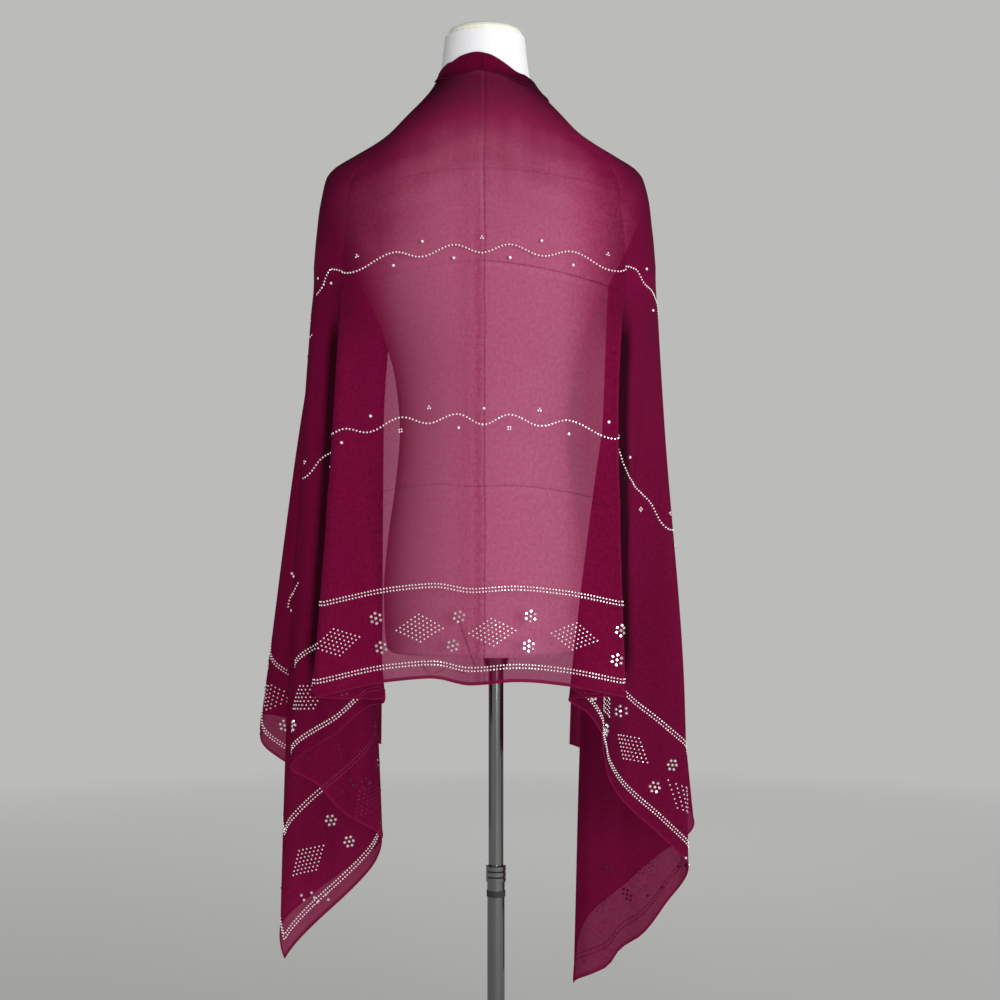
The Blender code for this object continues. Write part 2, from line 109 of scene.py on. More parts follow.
# A fold line: degrees round the shoulder, places at three heights, and how round the cloth turns on it.
Fold = namedtuple("Fold", "name angle x1000 y1000 x650 y650 x300 y300 round kind", defaults=(4.0, "fold"))
LEFT_FOLDS = [Fold(*row) for row in (
    ("back_edge", 50.9, -193, -108, -218, -116, -240, -120),
    ("back_inner", 58, -169, -92, -131, -94, -108, -92),
    ("side_edge", 70, -230, -62, -246, -57, -262, -54),
    ("side_inner", 80, -182, -30, -150, -24, -134, -20),
    ("tail_edge", 90, -241, 2, -262, 8, -273, 12),
    ("tail_inner", 99, -178, 32, -152, 36, -138, 40),
    ("outer_edge", 110, -251, 58, -298, 62, -345, 66, 5),
    ("front_edge", 149, -149, 118, -152, 126, -156, 128, 0, "end"),
)]
RIGHT_FOLDS = [Fold(*row) for row in (
    ("back_edge", 50.9, 146, -104, 155, -112, 165, -114),
    ("back_inner", 58, 130, -90, 86, -90, 52, -88),
    ("valley_back", 68, 160, -72, 128, -74, 122, -74, 0, "soft"),
    ("valley_side", 77, 180, -44, 148, -30, 142, -28, 0, "soft"),
    ("side_edge", 90, 210, -2, 236, 0, 243, 0, 5),
    ("tail_inner", 100, 152, 44, 110, 58, 100, 62),
    ("outer_edge", 111, 205, 70, 240, 84, 276, 88, 5),
    ("front_edge", 134, 141, 118, 100, 128, 92, 130, 0, "end"),
)]

# hem: (share of the way across, height). cut: (share, u, v) of the same hem on the flat scarf.
Stretch = namedtuple("Stretch", "name first last hem cut columns waves wave_depth", defaults=(0, 0))
LEFT_STRETCHES = (
    Stretch("left_back_pleat", "back_edge", "back_inner", (((0, 668), (0.5, 664), (0.9, 663), (1, 674)),),
            ((0, 0.20, 0), (1, 0.29, 0)), 20),
    Stretch("left_side", "back_inner", "side_edge",
            (((0, 674), (0.04, 662), (0.1, 657), (0.26, 654), (0.55, 616), (1, 574)),),
            ((0, 0.29, 0), (0.26, 0.395, 0), (1, 0.56, 0)), 32),
    Stretch("left_inner_pleat", "side_edge", "side_inner",
            (((0, 574), (0.33, 556), (0.57, 516), (1, 481)),), ((0, 0.56, 0), (1, 0.715, 0)), 28),
    Stretch("left_tail", "side_inner", "tail_edge",
            (((0, 481), (0.4, 411), (0.86, 326)), ((0.86, 326), (1, 361))),
            ((0, 0.715, 0), (0.86, 0.935, 0), (1, 0.935, 0.05)), 34),
    Stretch("left_tail_back", "tail_edge", "tail_inner",
            (((0, 361), (0.29, 393), (0.6, 436), (1, 475)),), ((0, 0.935, 0.05), (1, 0.935, 0.25)), 28),
    Stretch("left_outer", "tail_inner", "outer_edge",
            (((0, 475), (0.72, 570), (0.85, 585), (0.93, 599), (1, 626)),),
            ((0, 0.935, 0.25), (1, 0.935, 0.54)), 34),
    Stretch("left_front", "outer_edge", "front_edge", (((0, 626), (0.5, 612), (1, 577)),),
            ((0, 0.935, 0.54), (1, 0.935, 0.80)), 36, 1.5, 10),
)
RIGHT_STRETCHES = (
    Stretch("right_back_pleat", "back_edge", "back_inner", (((0, 668), (0.5, 666), (1, 662)),),
            ((0, 0.17, 0), (1, 0.244, 0)), 20),
    Stretch("right_side", "back_inner", "side_edge",
            (((0, 662), (0.18, 648), (0.33, 620), (0.66, 545), (0.8, 500), (0.92, 460), (1, 443)),),
            ((0, 0.244, 0), (0.33, 0.475, 0), (0.66, 0.61, 0), (1, 0.775, 0)), 54),
    Stretch("right_tail", "side_edge", "tail_inner",
            (((0, 443), (0.25, 400), (0.44, 350), (0.57, 329), (0.65, 305), (1, 279)),),
            ((0, 0.775, 0), (1, 0.957, 0)), 36),
    Stretch("right_tail_back", "tail_inner", "outer_edge",
            (((0, 279), (0.12, 345), (0.4, 399), (0.53, 426), (0.65, 446), (1, 483)),),
            ((0, 0.957, 0), (0.12, 0.957, 0.066), (0.4, 0.957, 0.15), (0.65, 0.957, 0.225), (1, 0.957, 0.28)),
            36),
    Stretch("right_front", "outer_edge", "front_edge", (((0, 483), (0.4, 530), (1, 577)),),
            ((0, 0.957, 0.28), (1, 0.957, 0.80)), 50, 2.5, 14),
)
BACK_HEM = (
    (-1, 668), (-0.52, 686.5), (-0.25, 690.5), (0, 682.5), (0.3, 686.5), (0.62, 681.5), (1, 668),
)
# How far the top edge is turned down outside, by degrees round the neck.
TURN_DOWN = (
    (-125, 4), (-100, 4), (-85, 7), (-60, 16), (-39, 21.5), (-16, 23), (0, 21),
    (12, 19), (28, 17), (43, 13.5), (60, 15), (80, 20), (100, 20), (125, 10),
)


def along(knots, at):
    """Values on a smooth curve through (place, value) knots that never overshoots them, and goes on straight
    past its ends."""
    knots = sorted(knots)
    at = np.asarray(at, float)
    x, y = np.array([k[0] for k in knots], float), np.array([k[1] for k in knots], float)
    gaps = np.diff(x)
    rises = np.diff(y) / gaps
    slopes = np.zeros(len(x))
    slopes[0], slopes[-1] = rises[0], rises[-1]
    for k in range(1, len(x) - 1):
        before, after = rises[k - 1], rises[k]
        slopes[k] = 0.0 if before * after <= 0 else 2 * before * after / (before + after)
    i = np.clip(np.searchsorted(x, at, side="right") - 1, 0, len(gaps) - 1)
    t = (at - x[i]) / gaps[i]
    inside = hermite(y[i], slopes[i] * gaps[i], y[i + 1], slopes[i + 1] * gaps[i], t)
    low, high = y[0] + slopes[0] * (at - x[0]), y[-1] + slopes[-1] * (at - x[-1])
    return np.where(at < x[0], low, np.where(at > x[-1], high, inside))


def hermite(start, start_pull, end, end_pull, t):
    """A smooth step between two values that leaves and arrives with the given pulls."""
    return (
        (2 * t**3 - 3 * t**2 + 1) * start
        + (t**3 - 2 * t**2 + t) * start_pull
        + (3 * t**2 - 2 * t**3) * end
        + (t**3 - t**2) * end_pull
    )


def eased(t):
    t = np.clip(t, 0.0, 1.0)
    return t * t * (3 - 2 * t)


def blend(a, b, t):
    return a + (b - a) * t


def crowded(t):
    """Shares that stand closer together towards both ends, where the folds turn."""
    return blend(t, (1 - np.cos(np.pi * t)) / 2, 0.85)


def ridge(at, middle, half_width):
    """1 on a line and nothing a few half widths away."""
    return np.exp(-(((at - middle) / half_width) ** 2))


def rounded(half_width, back, front, squareness, angle):
    """A place on a rounded ring, at so many degrees from the middle of the back."""
    s, c = np.sin(np.radians(angle)), np.cos(np.radians(angle))
    x = half_width * np.sign(s) * np.abs(s) ** (2 / squareness)
    y = -np.where(c > 0, back, front) * np.sign(c) * np.abs(c) ** (2 / squareness)
    return x + FORM_X, y


def mantle_sizes(height):
    return [along([(m.height, m[k]) for m in MANTLE], height) for k in (1, 2, 3, 4)]


def mantle_point(height, angle):
    return rounded(*mantle_sizes(height), angle)


def back_edge_angle(height):
    return np.degrees(np.arcsin(BACK_SHARE ** (mantle_sizes(height)[3] / 2)))


def neck_edge(angle):
    return float(along(NECK_EDGES, angle))


def fold_plan(fold, side, height):
    """Where a fold line is, seen from above, at each height below the shoulder line."""
    top = mantle_point(SHOULDER_LINE, side * fold.angle)
    x = [(SHOULDER_LINE, top[0]), (1000.0, fold.x1000), (650.0, fold.x650), (300.0, fold.x300)]
    y = [(SHOULDER_LINE, top[1]), (1000.0, fold.y1000), (650.0, fold.y650), (300.0, fold.y300)]
    return np.array((along(x, height), along(y, height)))


def pull(folds, side, i, j, height):
    """Which way, and how hard, the cloth leaves fold i for fold j. Low down it turns round the fold."""
    here, there = fold_plan(folds[i], side, height), fold_plan(folds[j], side, height)
    across, deep = np.abs(there[0] - here[0]), np.abs(there[1] - here[1])
    if folds[i].kind == "soft":
        return (fold_plan(folds[i + 1], side, height) - fold_plan(folds[i - 1], side, height)) / 2
    turn = abs(folds[j].angle - folds[i].angle) / 2
    ahead = np.array(mantle_point(SHOULDER_LINE, side * (folds[i].angle + turn)))
    plain = (ahead - np.array(mantle_point(SHOULDER_LINE, side * (folds[i].angle - turn))))[:, None]
    if folds[i].kind == "end":
        turned = np.array((-side * across, 0.15 * across))
    else:
        turned = np.array((0 * across, np.minimum(np.sqrt(6 * folds[i].round * across), 2.4 * deep)))
    return blend(plain, turned, eased((SHOULDER_LINE - height) / (SHOULDER_LINE - FOLDED_BY)))


def hem_height(stretch, share):
    for run in stretch.hem:
        if share <= run[-1][0]:
            return float(along(run, share))
    return float(stretch.hem[-1][-1][1])


def cut_place(stretch, share):
    """The place on the cut's edge, in metres, of a share of the way across a stretch's hem."""
    shares = [c[0] for c in stretch.cut]
    return np.array([np.interp(share, shares, [c[k] for c in stretch.cut]) for k in (1, 2)])


def fan_start(end):
    """Where the line from the shoulder point to a place on the cut's edge passes the shoulder line."""
    away = end - SHOULDER_POINT
    return SHOULDER_POINT + FAN_START * away / np.linalg.norm(away)


def stretch_column(stretch, folds, side, share, downs):
    """Plan places down one column of a stretch, its angle round the shoulders and its heights."""
    names = [f.name for f in folds]
    first, last = names.index(stretch.first), names.index(stretch.last)
    steps = last - first
    step = min(int(share * steps), steps - 1)
    i, t = first + step, share * steps - step
    height = blend(SHOULDER_LINE, hem_height(stretch, share), downs)
    a, b = fold_plan(folds[i], side, height), fold_plan(folds[i + 1], side, height)
    leave, arrive = pull(folds, side, i, i + 1, height), pull(folds, side, i + 1, i, height)
    place = hermite(a, leave, b, arrive, t)
    if stretch.waves:
        grown = eased((SHOULDER_LINE - height) / 400)
        wave = math.sin(2 * math.pi * stretch.waves * share)
        place[1] += stretch.wave_depth * grown * eased(4 * share) * wave
    angle = blend(folds[i].angle, folds[i + 1].angle, t)
    shoulder = np.array(mantle_point(SHOULDER_LINE, side * angle))[:, None]
    return blend(shoulder, place, eased((SHOULDER_LINE - height) / 60)), angle, height


def front_edge_angle(height, folds):
    knots = (
        (SHOULDER_LINE, folds[-1].angle),
        (FRONT_EDGE_TURN, FRONT_EDGE_AT_SHOULDER),
        (NECK_EDGE, FRONT_EDGE_AT_NECK),
    )
    return along(knots, height)


def panel_column(place, share, inset_turn, heights):
    """One column of the back panel at its heights, above and below the shoulder line."""
    half, back, _, square = mantle_sizes(np.maximum(heights, SHOULDER_LINE))
    below = heights < SHOULDER_LINE
    edges = [fold_plan(folds[0], side, heights) for folds, side in ((LEFT_FOLDS, -1), (RIGHT_FOLDS, 1))]
    left = np.where(below, edges[0][0], FORM_X - BACK_SHARE * half)
    right = np.where(below, edges[1][0], FORM_X + BACK_SHARE * half)
    roll = EDGE_ROLL * eased((SHOULDER_LINE - heights) / (SHOULDER_LINE - FOLDED_BY))
    top_edge_y = -back * (1 - BACK_SHARE**square) ** (1 / square)
    middle_y = np.where(below, along(((SHOULDER_LINE, -114.0), (1000.0, -117.0), (668.0, -125.0)), heights), -back)
    if place == "middle":
        inset, lift = EDGE_ROLL, 0.0
        x = blend(left + inset, right - inset, share)
    else:
        inset, lift = EDGE_ROLL * (1 - math.cos(inset_turn)), roll * (1 - math.sin(inset_turn))
        x = left + inset if place == "left" else right - inset
    off = (2 * x - left - right) / (right - left)
    edge_y = np.where(below, np.where(off < 0, edges[0][1], edges[1][1]) - roll, top_edge_y)
    drop = 1 - (1 - (BACK_SHARE * np.abs(off)) ** square) ** (1 / square)
    full_drop = 1 - (1 - BACK_SHARE**square) ** (1 / square)
    reach = np.where(x < FORM_X, FORM_X - left, right - FORM_X)
    return x, blend(middle_y, edge_y, drop / full_drop) + lift, reach


PANEL_DROP = (687.0, 19.0)  # the back panel's hem at its middle, and its drop to the sides, were it even
UP_ROWS, DOWN_ROWS, TURN_ROWS = 46, 132, 9
PANEL_COLUMNS, PANEL_EDGE_STEPS = 92, 5


def sheet_columns():
    """Every column of the scarf from its left front edge to its right one: (zone, side, stretch, share)."""
    columns = []
    for stretch in reversed(LEFT_STRETCHES):
        columns += [("side", -1, stretch, share) for share in hem_shares(stretch)[:0:-1]]
    columns += [("left", 0, None, i) for i in range(PANEL_EDGE_STEPS)]
    columns += [("middle", 0, None, i / (PANEL_COLUMNS - 1)) for i in range(PANEL_COLUMNS)]
    columns += [("right", 0, None, i) for i in reversed(range(PANEL_EDGE_STEPS))]
    for stretch in RIGHT_STRETCHES:
        columns += [("side", 1, stretch, share) for share in hem_shares(stretch)[1:]]
    return columns


def hem_shares(stretch):
    shares = crowded(np.linspace(0, 1, stretch.columns + 1))
    for run in stretch.hem[:-1]:
        shares[np.argmin(np.abs(shares - run[-1][0]))] = run[-1][0]
    return list(shares)


def sheet_points():
    """Points (rows, columns, 3) in millimetres and their places (rows, columns, 2) on the flat cut in metres.
    Rows run from the turned-down top edge to the hem."""
    ups, downs = np.linspace(0, 1, UP_ROWS), np.linspace(0, 1, DOWN_ROWS)[1:]
    columns = sheet_columns()
    rows = UP_ROWS + DOWN_ROWS - 1
    points, flat = np.zeros((rows, len(columns), 3)), np.zeros((rows, len(columns), 2))
    for c, (zone, side, stretch, share) in enumerate(columns):
        if zone == "side":
            folds = LEFT_FOLDS if side < 0 else RIGHT_FOLDS
            plan, angle, low = stretch_column(stretch, folds, side, share, downs)
            span = (angle - folds[0].angle) / (folds[-1].angle - folds[0].angle)
            top = neck_edge(side * blend(back_edge_angle(NECK_EDGE), FRONT_EDGE_AT_NECK, span))
            high = blend(top, SHOULDER_LINE, ups)
            turn = blend(back_edge_angle(high), front_edge_angle(high, folds), span)
            x, y = mantle_point(high, side * turn)
            points[:, c] = np.stack([np.concatenate(pair) for pair in ((x, plan[0]), (y, plan[1]), (high, low))], 1)
            end = cut_place(stretch, share)
            start = fan_start(end)
            if stretch.last == "front_edge":
                start = blend(fan_start(cut_place(stretch, 0)), FRONT_EDGE_ON_CUT, share)
            neck = np.array((NECK_ON_CUT + NECK_SPREAD * span, CUT_DEPTH))
            flat[:, c] = np.concatenate((blend(neck, start, ups[:, None]), blend(start, end, downs[:, None])))
            flat[:, c, 0] *= side
        else:
            inset_turn = math.pi / 2 * share / PANEL_EDGE_STEPS if zone != "middle" else 0.0
            q = {"left": -1.0, "right": 1.0}.get(zone, 2 * share - 1)
            top = neck_edge(q * back_edge_angle(NECK_EDGE))
            hem = float(along(BACK_HEM, q))
            heights = np.concatenate((blend(top, SHOULDER_LINE, ups), blend(SHOULDER_LINE, hem, downs)))
            x, y, reach = panel_column(zone, share, inset_turn, heights)
            points[:, c] = np.stack((x, y, heights), axis=1)
            from_middle = (x - FORM_X) * MM
            edge = np.where(from_middle < 0, LEFT_PANEL_EDGE, RIGHT_PANEL_EDGE)
            edge = blend(edge, reach * MM, eased((heights - SHOULDER_LINE) / 100))
            slack = (edge - reach * MM) * np.abs(from_middle / (reach * MM)) ** 3
            steps = np.linalg.norm(np.diff(points[:, c], axis=0), axis=1) * MM
            flat[:, c, 0] = from_middle + np.sign(from_middle) * slack
            v = np.concatenate((np.cumsum(steps[::-1])[::-1], [0.0]))
            at_line = v[UP_ROWS - 1]
            even = at_line + (hem - PANEL_DROP[0] + PANEL_DROP[1] * q * q) * MM
            flat[:, c, 1] = np.where(v > at_line, v + even - at_line, v * even / at_line)
    return columns, points, flat


def normals_of(points):
    """Unit normals of a grid of points, on the scarf's right side."""
    down, across = np.gradient(points, axis=0), np.gradient(points, axis=1)
    found = np.cross(down, across)
    return found / np.maximum(np.linalg.norm(found, axis=2, keepdims=True), 1e-9)


def wrinkled(columns, points, flat):
    """Creases from packing, and the small troughs and ridges that the photo shows, each in its own place."""
    u, v, z = flat[..., 0], flat[..., 1], points[..., 2]
    # Packing creases on the back panel: one along the middle and three across, the second on the right alone.
    panel = 1.1 * ridge(u, 0.0, 0.020) - 1.3 * ridge(u, 0.0016 * np.sin(9 * v) * (1 - v), 0.0022)
    panel += 0.9 * ridge(v, 0.232, 0.018) - 1.0 * ridge(v, 0.232 + 0.006 * np.sin(14 * u), 0.0022)
    slanted = 0.504 - 0.13 * u
    panel += eased((u + 0.02) / 0.03) * (0.7 * ridge(v, slanted, 0.016) - 1.0 * ridge(v, slanted, 0.0024))
    panel += 0.5 * ridge(v, 0.616, 0.02) - 0.7 * ridge(v, 0.616 + 0.02 * u, 0.0025)
    # Soft slack over the small of the back and below it.
    panel += 2.2 * np.sin(21 * u + 1.2 + 2.0 * v) * eased((0.50 - v) / 0.4) * ridge(u, 0.0, 0.16)
    panel += 1.2 * np.sin(55 * u + 17 * v) * eased((0.36 - v) / 0.3) * ridge(u, 0.0, 0.17)
    # Puckers above the hem left of the middle.
    for at, reach, depth, lean in ((-0.058, 0.005, 2.4, 0.35), (-0.044, 0.004, -1.9, -0.5), (-0.027, 0.005, 1.7, 0.9)):
        panel += depth * ridge(u + lean * (v - 0.012), at, reach) * ridge(v, 0.008, 0.016)
    panel += 1.6 * np.sin(62 * u + 0.6) * eased((0.05 - v) / 0.05)
    # Soft troughs down the sides, deeper towards the hem.
    across = np.array([share for _, _, _, share in columns])
    phase = np.array([phase_of(stretch) if stretch else 0.0 for _, _, stretch, _ in columns])
    side = 2.0 * np.sin(15 * across + phase + 0.004 * z) + 0.9 * np.sin(37 * across + 2.3 * phase - 0.006 * z)
    side *= eased((SHOULDER_LINE - z) / 500) * np.clip(4 * across * (1 - across), 0, 1)
    lift = np.where([stretch is None for _, _, stretch, _ in columns], panel, side)
    # Fine pull lines from the shoulders' ends towards the neck.
    lift += 0.7 * eased((z - 1215) / 70) * np.sin(0.16 * z + 66 * np.abs(u)) * eased((1425 - z) / 60)
    return points + normals_of(points) * lift[..., None]


def phase_of(stretch):
    """A number for each stretch, so that no two have their troughs in the same places."""
    return sum(ord(letter) for letter in stretch.name) * 0.37 % 6.28


def gathered_close(columns, points):
    """How closely the cloth is packed, and painted shade where it lies in folds, from 0 to 1, which the chiffon's
    colour and cover follow.
    """
    x, z = points[..., 0], points[..., 2]
    names = np.array([stretch.name if stretch else "panel" for _, _, stretch, _ in columns])
    sides = np.array([side for _, side, _, _ in columns])
    beside = np.isin(names, ("left_back_pleat", "left_side", "right_back_pleat", "right_side"))
    below = eased((SHOULDER_LINE - z) / 120)
    # Painted shade round the neck, over the right shoulder's end, over the left shoulder, down the hanging sides and
    # in the right tail, on top of the cloth's packing.
    packing_shade = [
        0.6 * eased((z - 1325) / 90) * (1 - 0.75 * eased((z - 1416) / 16)),  # round the neck
        0.46 * eased((x - 105) / 75) * eased((z - 1120) / 80),  # over the right shoulder's end
        0.4 * eased((-60 - x) / 80) * eased((z - 1160) / 80),  # over the left shoulder
        0.42 * (sides != 0) * eased((1250 - z) / 120) * eased((z - np.where(sides > 0, 180, 330)) / 160),
        0.6 * (names == "right_tail") * eased((z - 330) / 200) * eased((1150 - z) / 200),
    ]
    for folds, side in ((LEFT_FOLDS, -1), (RIGHT_FOLDS, 1)):
        hanging = (sides == side) & ~np.char.endswith(names, "front")
        beyond = side * (x - fold_plan(folds[0], side, np.minimum(z, SHOULDER_LINE))[0])
        # Painted shadow in the valley beside the panel's edge and on the panel where it turns into it, and painted
        # shade on the folds behind the panel.
        valley_shadow = np.exp(-((np.maximum(beyond - 6, 0) / (8 + 5 * below)) ** 2)) * eased((beyond + 16) / 16)
        packing_shade.append(valley_shadow * hanging * beside * below * eased((z - 600) / 130))
        packing_shade.append(0.5 * eased((beyond + 60) / 60) * (sides == 0) * eased((z - 1040) / 90) * eased((1400 - z) / 120))
        inner = 0.6 * eased((190 - side * x) / 40) * hanging
        packing_shade.append(inner * eased((z - 430) / 120) * eased((760 - z) / 110))
    return np.maximum.reduce(packing_shade)


def turned_down(points, flat):
    """The sheet with the rows of its top edge, which is turned out and down round the neck, above its first row."""
    made, made_flat = [], []
    for top, (u, v) in zip(points[0], flat[0]):
        angle = math.degrees(math.atan2(top[0] - FORM_X, -top[1] * 1.02))
        deep = float(along(TURN_DOWN, angle)) + 0.8 * math.sin(0.21 * angle)
        column = []
        for t in np.linspace(0, 1, TURN_ROWS):
            if t < 0.3:
                out, rise = 1.2 * math.sin(t / 0.3 * math.pi / 2), 1.0 * math.sin(t / 0.3 * math.pi)
            else:
                out, rise = 1.2 + 0.6 * (t - 0.3), -deep * (t - 0.3) / 0.7
            height = min(top[2] + rise, NECK_EDGE + 2)
            half, back, front, square = mantle_sizes(height)
            x, y = rounded(half + out, back + out, front + out, square, angle)
            column.append((float(x), float(y), float(height)))
        made.append(column[:0:-1])
        made_flat.append([(u, v + deep * MM * (1 - t)) for t in np.linspace(0, 1, TURN_ROWS)[:-1]])
    rows, rows_flat = (np.array(part).transpose(1, 0, 2) for part in (made, made_flat))
    return np.concatenate((rows, points)), np.concatenate((rows_flat, flat))


# ------------------------------------------------
# Small helpers


def linear(hex_colour):
    """An sRGB hex colour as the linear values that Blender works in."""
    parts = [int(hex_colour[i : i + 2], 16) / 255 for i in (1, 3, 5)]
    return tuple(p / 12.92 if p <= 0.04045 else ((p + 0.055) / 1.055) ** 2.4 for p in parts) + (1.0,)


def add_node(tree, kind, inputs=(), **settings):
    """A node with its settings. Its inputs come in turn or by name, and each is a value, a socket, or a node,
    which gives its first output in use."""
    node = tree.nodes.new("ShaderNode" + kind)
    for name, value in settings.items():
        setattr(node, name, value)
    for key, value in inputs.items() if isinstance(inputs, dict) else enumerate(inputs):
        if isinstance(value, bpy.types.Node):
            value = next(output for output in value.outputs if output.enabled)
        if isinstance(value, bpy.types.NodeSocket):
            tree.links.new(value, node.inputs[key])
        else:
            node.inputs[key].default_value = value
    return node


def new_material(name):
    """A material without nodes, and add_node for its tree."""
    made = bpy.data.materials.new(name)
    made.use_nodes = True
    made.node_tree.nodes.clear()
    return made, partial(add_node, made.node_tree)


def select_only(*objects):
    bpy.ops.object.select_all(action="DESELECT")
    for one in objects:
        one.select_set(True)
        bpy.context.view_layer.objects.active = one


def new_object(name, mesh, material, smooth=True):
    made = bpy.data.objects.new(name, mesh)
    bpy.context.scene.collection.objects.link(made)
    mesh.materials.append(material)
    mesh.polygons.foreach_set("use_smooth", [smooth] * len(mesh.polygons))
    return made


def grid_mesh(name, points, flat=None, closed=False):
    """A mesh through a grid of points in millimetres, with its places on the flat cut as a UV map in metres."""
    rows, count = points.shape[:2]
    ids = np.arange(rows * count).reshape(rows, count)
    nxt = np.roll(ids, -1, axis=1) if closed else ids[:, 1:]
    here = ids if closed else ids[:, :-1]
    quads = np.stack((here[:-1], here[1:], nxt[1:], nxt[:-1]), axis=-1).reshape(-1, 4)
    mesh = bpy.data.meshes.new(name)
    mesh.from_pydata((points.reshape(-1, 3) * MM).tolist(), [], quads.tolist())
    if flat is not None:
        layer = mesh.uv_layers.new(name="cut")
        places = flat.reshape(-1, 2)[quads.reshape(-1)]
        layer.data.foreach_set("uv", places.astype(np.float32).reshape(-1))
    mesh.update()
    return mesh


# ------------------------------------------------
# Materials


def chiffon_material():
    """Polyester chiffon, dyed wine red: a plain weave of tightly twisted yarns with open gaps between them. What
    lies behind shows through each layer, tinted, and more layers are deeper in colour. The twist leaves the
    face matt and a little crimped, with fine slubs along both yarns. The narrow hem is three layers."""
    # Shade in the folds, along the creases, at the sides and at the neck is painted into the yarns' colour and cover
    # below.
    made, add = new_material("wine_polyester_chiffon")
    place = add("UVMap", uv_map="cut")
    u, v, _ = add("SeparateXYZ", [place]).outputs

    def uneven(across, up, detail=2.0):
        """Noise with so many spots to the metre along u and v."""
        at = add("Mapping", {"Vector": place, "Scale": (across, up, 1.0)})
        return add("TexNoise", {"Vector": at, "Scale": 1.0, "Detail": detail})

    def line(distance, past, half_width, strength, where=1.0):
        """A soft line where a distance and what it is past add up to nought, as strong as where says."""
        apart = add("Math", [add("Math", [distance, past])], operation="ABSOLUTE")
        soft = add("MapRange", [apart, 0.0, half_width, strength, 0.0])
        return add("Math", [soft, where], operation="MULTIPLY")

    # Yarns are 0.25 mm apart, too fine to show. Slubs are drawn 1.2 mm wide and 25 mm long, the crimp 3 to 5 mm.
    cover = add("MapRange", [add("Math", [uneven(40.0, 850.0), uneven(850.0, 40.0)]), 0.6, 1.4, 0.20, 0.38])
    for spots, most in ((uneven(260.0, 200.0, 3.0), 0.10), (uneven(9.0, 7.0), 0.03)):
        cover = add("Math", [cover, add("MapRange", [spots, 0.3, 0.7, -most, most])])
    # Pressed creases make the weave tighter along the fold, with painted shade on one side. The upright one has
    # painted shade on its left, and a paler painted highlight just beside it towards the top. The ones across have a
    # painted highlight just above them.
    wander = add("MapRange", [uneven(3.0, 9.0), 0.0, 1.0, -0.0035, 0.0035])
    off = add("Math", [add("Math", [u, wander], operation="SUBTRACT"), -0.001])
    crease_lines_and_shade = line(off, 0.0, 0.0016, 0.9, add("MapRange", [v, 0.60, 0.68, 1.0, 0.2]))
    mottle = add("MapRange", [uneven(120.0, 60.0, 3.0), 0.35, 0.65, 0.65, 1.0])
    shade = add("Math", [line(off, 0.007, 0.008, 0.34, mottle), line(off, 0.022, 0.018, 0.14)])
    shade = add("Math", [shade, add("MapRange", [v, 0.50, 0.62, 1.0, 0.15])], operation="MULTIPLY")
    painted_crease_highlight = line(off, 0.0035, 0.0028, 0.22, add("MapRange", [v, 0.505, 0.525, 0.0, 1.0]))
    for level, left_slant, right_slant, left, right in (
        (0.232, 0.02, -0.02, 0.5, 0.7), (0.497, 0.05, -0.075, 0.3, 0.9), (0.616, 0.02, -0.02, 0.3, 0.4),
    ):
        height = add("Math", [wander, -0.6, v], operation="MULTIPLY_ADD")
        for half, slant in (("MAXIMUM", right_slant), ("MINIMUM", left_slant)):
            height = add("Math", [add("Math", [u, 0.0], operation=half), -slant, height], operation="MULTIPLY_ADD")
        strength = add("MapRange", [u, -0.004, 0.004, left, right])
        crease_lines_and_shade = add("Math", [crease_lines_and_shade, line(height, -level, 0.0015, 1.0, strength)], operation="MAXIMUM")
        painted_crease_highlight = add("Math", [painted_crease_highlight, line(height, 0.005 - level, 0.005, 0.08, strength)])
    # Short puckers above the hem, left of the middle, drawn as strokes of painted shade.
    for at, height, lean, low, high, strength in (
        (-0.070, 0.012, -1.0, 0.003, 0.022, 0.8), (-0.030, 0.014, -5.5, 0.011, 0.018, 0.8),
        (-0.019, 0.045, -0.36, 0.016, 0.078, 0.7), (-0.051, 0.010, 1.6, 0.004, 0.017, 0.6),
        (0.012, 0.014, 2.5, 0.008, 0.021, 0.5),
    ):
        reach = add("Math", [v, -lean, u], operation="MULTIPLY_ADD")
        starts = add("MapRange", [v, low, low + 0.003, 0.0, 1.0])
        inside = add("Math", [starts, add("MapRange", [v, high - 0.004, high, 1.0, 0.0])], operation="MULTIPLY")
        stroke = line(reach, lean * height - at, 0.0022 * math.hypot(1.0, lean), strength, inside)
        crease_lines_and_shade = add("Math", [crease_lines_and_shade, stroke], operation="MAXIMUM")
    on_back = add("MapRange", [add("Math", [u], operation="ABSOLUTE"), 0.13, 0.17, 1.0, 0.0])
    crease_lines_and_shade = add("Math", [crease_lines_and_shade, on_back], operation="MULTIPLY")
    # The creases' painted shade and painted highlight, which also set the cover.
    creases = add("Math", [crease_lines_and_shade, 0.4, add("Math", [shade, painted_crease_highlight], operation="SUBTRACT")], operation="MULTIPLY_ADD")
    cover = add("Math", [creases, on_back, cover], operation="MULTIPLY_ADD")
    # The back panel's weave is tighter on each side of the form, and its colour darker there as painted shade. Yarns
    # seen side on tighten the weave at a glancing angle, and it is packed tight in the deep folds and at the neck,
    # where painted shade is added as well.
    drawn_and_shaded = add("Math", [add("Math", [u, 0.004])], operation="ABSOLUTE")
    drawn_and_shaded = add("MapRange", [drawn_and_shaded, 0.098, 0.130, 0.0, 0.26])
    glance = add("Math", [add("LayerWeight", {"Blend": 0.5}).outputs["Facing"], 1.3], operation="POWER")
    neck_gathers_and_shade = add("Math", [v, add("MapRange", [uneven(60.0, 5.0), 0.3, 0.7, -0.012, 0.012])])
    neck_gathers_and_shade = add("MapRange", [neck_gathers_and_shade, 0.585, 0.735, 0.0, 1.0])
    packing_shade = add("Attribute", attribute_name="gathered_close").outputs["Fac"]
    for amount, share in ((drawn_and_shaded, 1.0), (glance, 0.6), (neck_gathers_and_shade, 0.16), (packing_shade, 0.34)):
        cover = add("Math", [amount, share, cover], operation="MULTIPLY_ADD")
